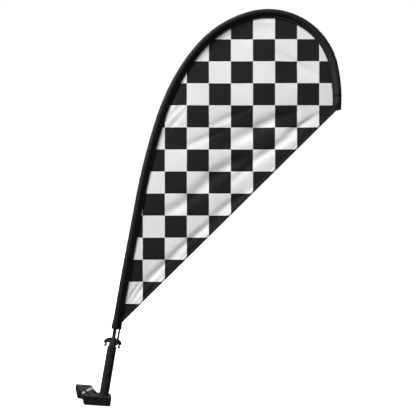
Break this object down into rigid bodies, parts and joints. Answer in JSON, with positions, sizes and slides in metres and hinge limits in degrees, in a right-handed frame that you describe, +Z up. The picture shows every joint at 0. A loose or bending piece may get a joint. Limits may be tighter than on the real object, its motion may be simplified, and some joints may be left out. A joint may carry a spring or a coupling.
{
  "type": "clip-on teardrop flag",
  "caption": "Teardrop chequered flag on a bowed pole, free to turn in the stem of a clip that grips a window's top edge.",
  "frame": {"origin": "middle of the glass seat, on the underside of the bridge, where the top edge of the window glass bears", "axes": "+Z up along the stem; the glass lies in the XZ plane, with +X along its edge toward the stem; +Y points inside the window"},
  "size_m": [0.3325, 0.1153, 0.6679],
  "materials": {
    "clip_plastic": "moulded, glossy",
    "stem_plastic": "moulded, semi-gloss",
    "collar_plastic": "moulded, semi-gloss",
    "cup_plastic": "moulded, matt",
    "rod": "black glass-fibre rod, satin",
    "ferrule": "drawn tube",
    "sleeve_cloth": "black woven polyester with a soft sheen",
    "flag_cloth": "printed knitted polyester in black and white squares",
    "pocket_cloth": "black woven polyester, doubled",
    "cord": "braided elastic"
  },
  "bodies": {
    "clip": {"clip_body": "clip_plastic", "stem_tube": "stem_plastic"},
    "inner_jaw": {"clip_inner_jaw": "clip_plastic"},
    "swivel": {"swivel_cup": "cup_plastic"},
    "pole": {"hook_collar": "collar_plastic", "lower_rod": "rod", "upper_rod": "rod", "rod_ferrule": "ferrule", "rod_tip_cap": "cup_plastic", "pole_sleeve": "sleeve_cloth", "sleeve_band": "sleeve_cloth", "flag_cloth": "flag_cloth", "flag_hem": "flag_cloth", "tip_pocket": "pocket_cloth", "tension_cord": "cord"}
  },
  "joints": [
    {"name": "jaw_flex", "type": "hinge", "parent": "clip", "child": "inner_jaw", "pos_m": [0, 0.00225, 0.003], "axis": [1, 0, 0], "range_deg": [0, 6], "stiffness_Nm_per_rad": 1.2},
    {"name": "flag_swivel", "type": "hinge", "parent": "clip", "child": "swivel", "pos_m": [0.0244, -0.01195, 0], "axis": [0, 0, 1], "continuous": true},
    {"name": "pole_lift_out", "type": "slide", "parent": "swivel", "child": "pole", "axis": [0, 0, 1], "range_m": [0, 0.082]}
  ]
}
